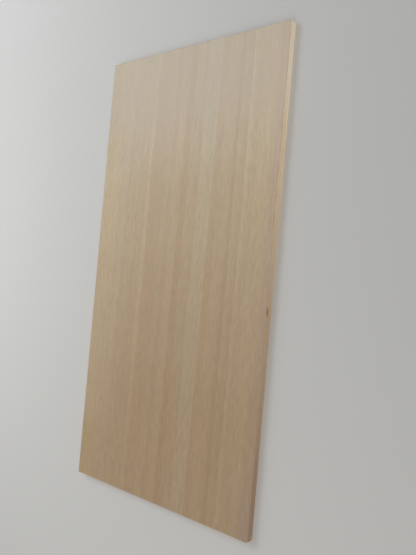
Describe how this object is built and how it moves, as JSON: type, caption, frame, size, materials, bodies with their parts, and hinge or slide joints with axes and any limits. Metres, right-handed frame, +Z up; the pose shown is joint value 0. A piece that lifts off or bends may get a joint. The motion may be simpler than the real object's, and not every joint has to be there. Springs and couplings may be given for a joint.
{
  "type": "bamboo plywood panel",
  "caption": "Flat rectangular bamboo plywood panel, with long narrow strips on both faces, a cross-laid core whose strip ends show along the long edges, and lightly eased edges.",
  "frame": {"origin": "middle of the underside, which lies on the floor", "axes": "+X across the panel, +Y along it with the strips of the face, +Z up, out of the good face"},
  "size_m": [0.61, 1.22, 0.019],
  "materials": {
    "face_bamboo": "sanded natural bamboo strips on edge, thin satin varnish",
    "core_bamboo": "sawn natural bamboo, end grain at the long edges, unvarnished",
    "back_bamboo": "sanded natural bamboo strips on edge, unvarnished"
  },
  "bodies": {
    "root": {"face_ply": "face_bamboo", "core_ply": "core_bamboo", "back_ply": "back_bamboo"}
  },
  "joints": []
}
